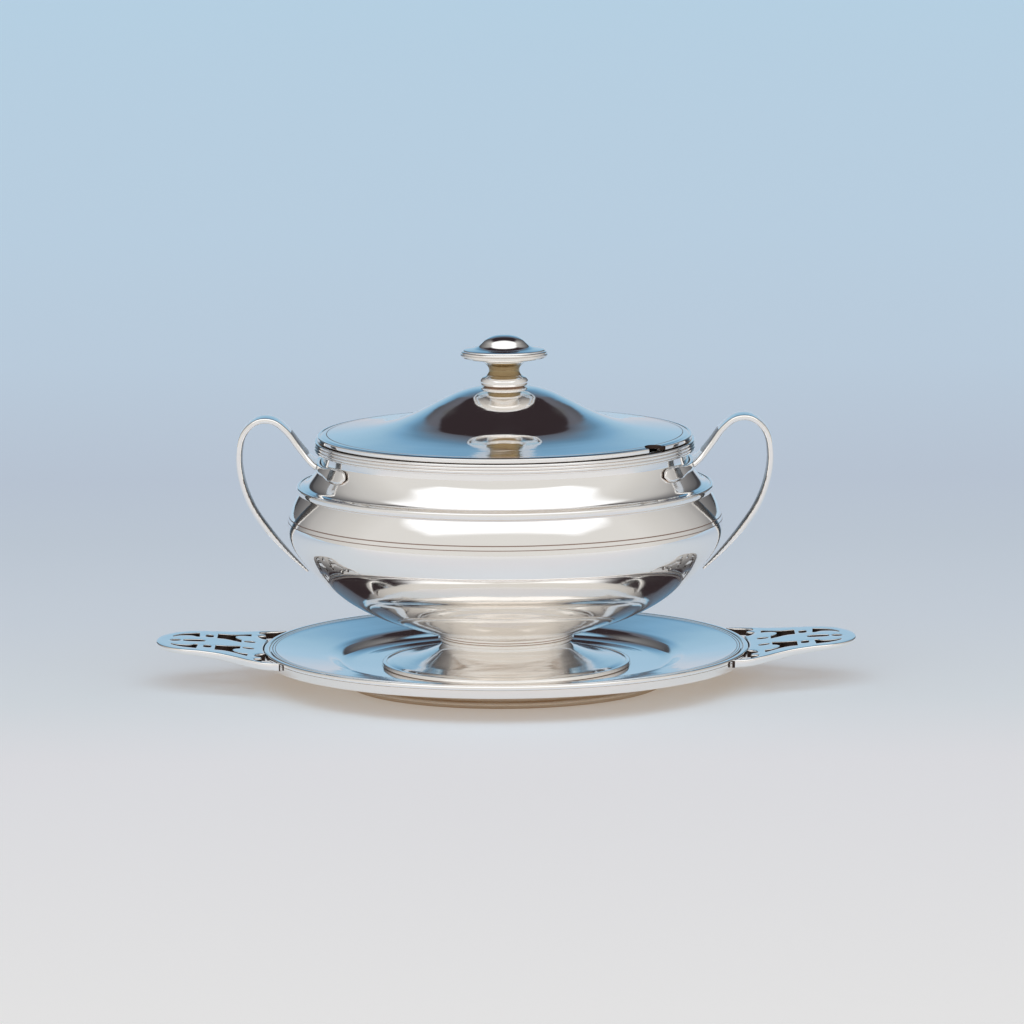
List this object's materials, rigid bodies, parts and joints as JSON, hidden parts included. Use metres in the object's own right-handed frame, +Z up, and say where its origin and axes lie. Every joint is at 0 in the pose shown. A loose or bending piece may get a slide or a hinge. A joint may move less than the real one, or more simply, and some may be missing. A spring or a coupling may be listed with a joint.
{
  "type": "covered sugar bowl",
  "caption": "Round footed bowl with loop handles and a domed lid with a turned finial and a spoon notch, standing on a round underplate with pierced tab handles.",
  "frame": {"origin": "on the resting face, on the axis of the plate, bowl and lid", "axes": "+X through the right tab handle and the right loop handle, +Y to the back, +Z up through the finial"},
  "size_m": [0.2222, 0.1538, 0.1109],
  "materials": {
    "polished_silver": "hand-polished sterling silver with fine wear",
    "turned_silver": "turned silver, left satin"
  },
  "bodies": {
    "underplate": {"underplate_dish": "polished_silver", "underplate_edge_wire": "polished_silver", "underplate_foot_ring": "polished_silver", "right_tab_handle": "polished_silver", "left_tab_handle": "polished_silver"},
    "bowl": {"pedestal_foot": "polished_silver", "neck_collar": "polished_silver", "bowl_body": "polished_silver", "bowl_rim_moulding": "polished_silver", "right_loop_handle": "polished_silver", "left_loop_handle": "polished_silver"},
    "lid": {"lid_cover": "polished_silver", "lid_bezel": "polished_silver", "finial_stem": "polished_silver", "finial_cap": "polished_silver", "finial_nut": "turned_silver"}
  },
  "joints": [
    {"name": "bowl_lift", "type": "slide", "parent": "underplate", "child": "bowl", "axis": [0, 0, 1], "range_m": [0, 0.06]},
    {"name": "lid_lift", "type": "slide", "parent": "bowl", "child": "lid", "axis": [0, 0, 1], "range_m": [0, 0.06]}
  ]
}
